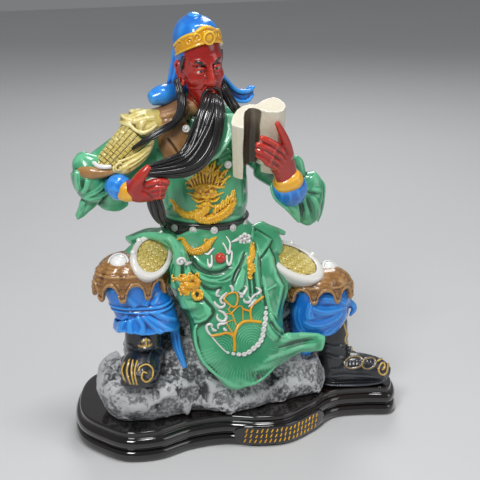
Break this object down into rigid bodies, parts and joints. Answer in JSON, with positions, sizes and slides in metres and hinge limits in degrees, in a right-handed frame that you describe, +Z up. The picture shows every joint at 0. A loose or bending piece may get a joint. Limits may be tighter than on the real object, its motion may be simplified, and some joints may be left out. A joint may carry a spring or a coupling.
{
  "type": "guan yu statue",
  "caption": "Painted seated figure of a bearded warrior reading an open book, on a rock and a wavy black lacquered plinth; stands on its underside.",
  "frame": {"origin": "centre of the plinth's underside", "axes": "+Z up, -Y towards the statue's front, +X towards the statue's left hand"},
  "size_m": [0.3256, 0.1896, 0.4001],
  "materials": {
    "black_lacquer": "black high-gloss lacquer",
    "green_glaze": "glossy green enamel over cast resin, paler on the ridges",
    "red_skin": "glossy deep red enamel",
    "blue_cloth": "glossy bright blue enamel",
    "gold_paint": "satin gold paint with dark recesses",
    "brown_leather": "glossy tan brown enamel",
    "black_enamel": "glossy black enamel",
    "silver_paint": "satin silver-white paint",
    "grey_rock": "dark grey with white dry-brushed veins",
    "book_cream": "cream enamel"
  },
  "bodies": {
    "root": {"plinth": "black_lacquer", "figure": "green_glaze", "book": "book_cream"}
  },
  "joints": []
}
